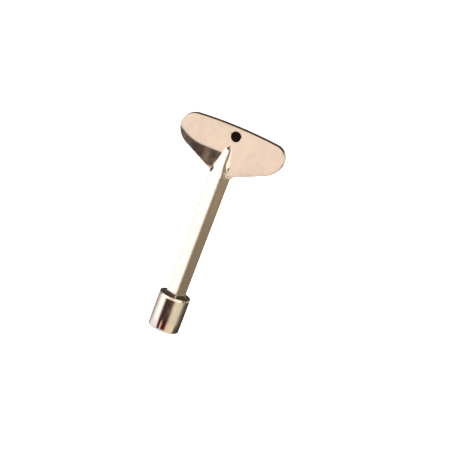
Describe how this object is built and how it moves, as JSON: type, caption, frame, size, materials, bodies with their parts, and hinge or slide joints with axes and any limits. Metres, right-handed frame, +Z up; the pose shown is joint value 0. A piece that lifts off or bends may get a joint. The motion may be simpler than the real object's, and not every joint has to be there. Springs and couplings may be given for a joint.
{
  "type": "radiator bleed key",
  "caption": "Winged key with a ring hole, a square shank set corner-on and a round socket barrel with a square drive for radiator vent spindles.",
  "frame": {"origin": "centre of the socket's mouth, which is the face that the key stands on", "axes": "+Z up the shank to the crown of the bow, X along the wings, Y through the bow plate"},
  "size_m": [0.0378, 0.011, 0.0762],
  "materials": {
    "bow_plate": "polished",
    "shank_plate": "polished",
    "barrel_plate": "polished",
    "filler": "satin"
  },
  "bodies": {
    "root": {"bow": "bow_plate", "shank": "shank_plate", "socket_barrel": "barrel_plate", "braze_fillet": "filler"}
  },
  "joints": []
}
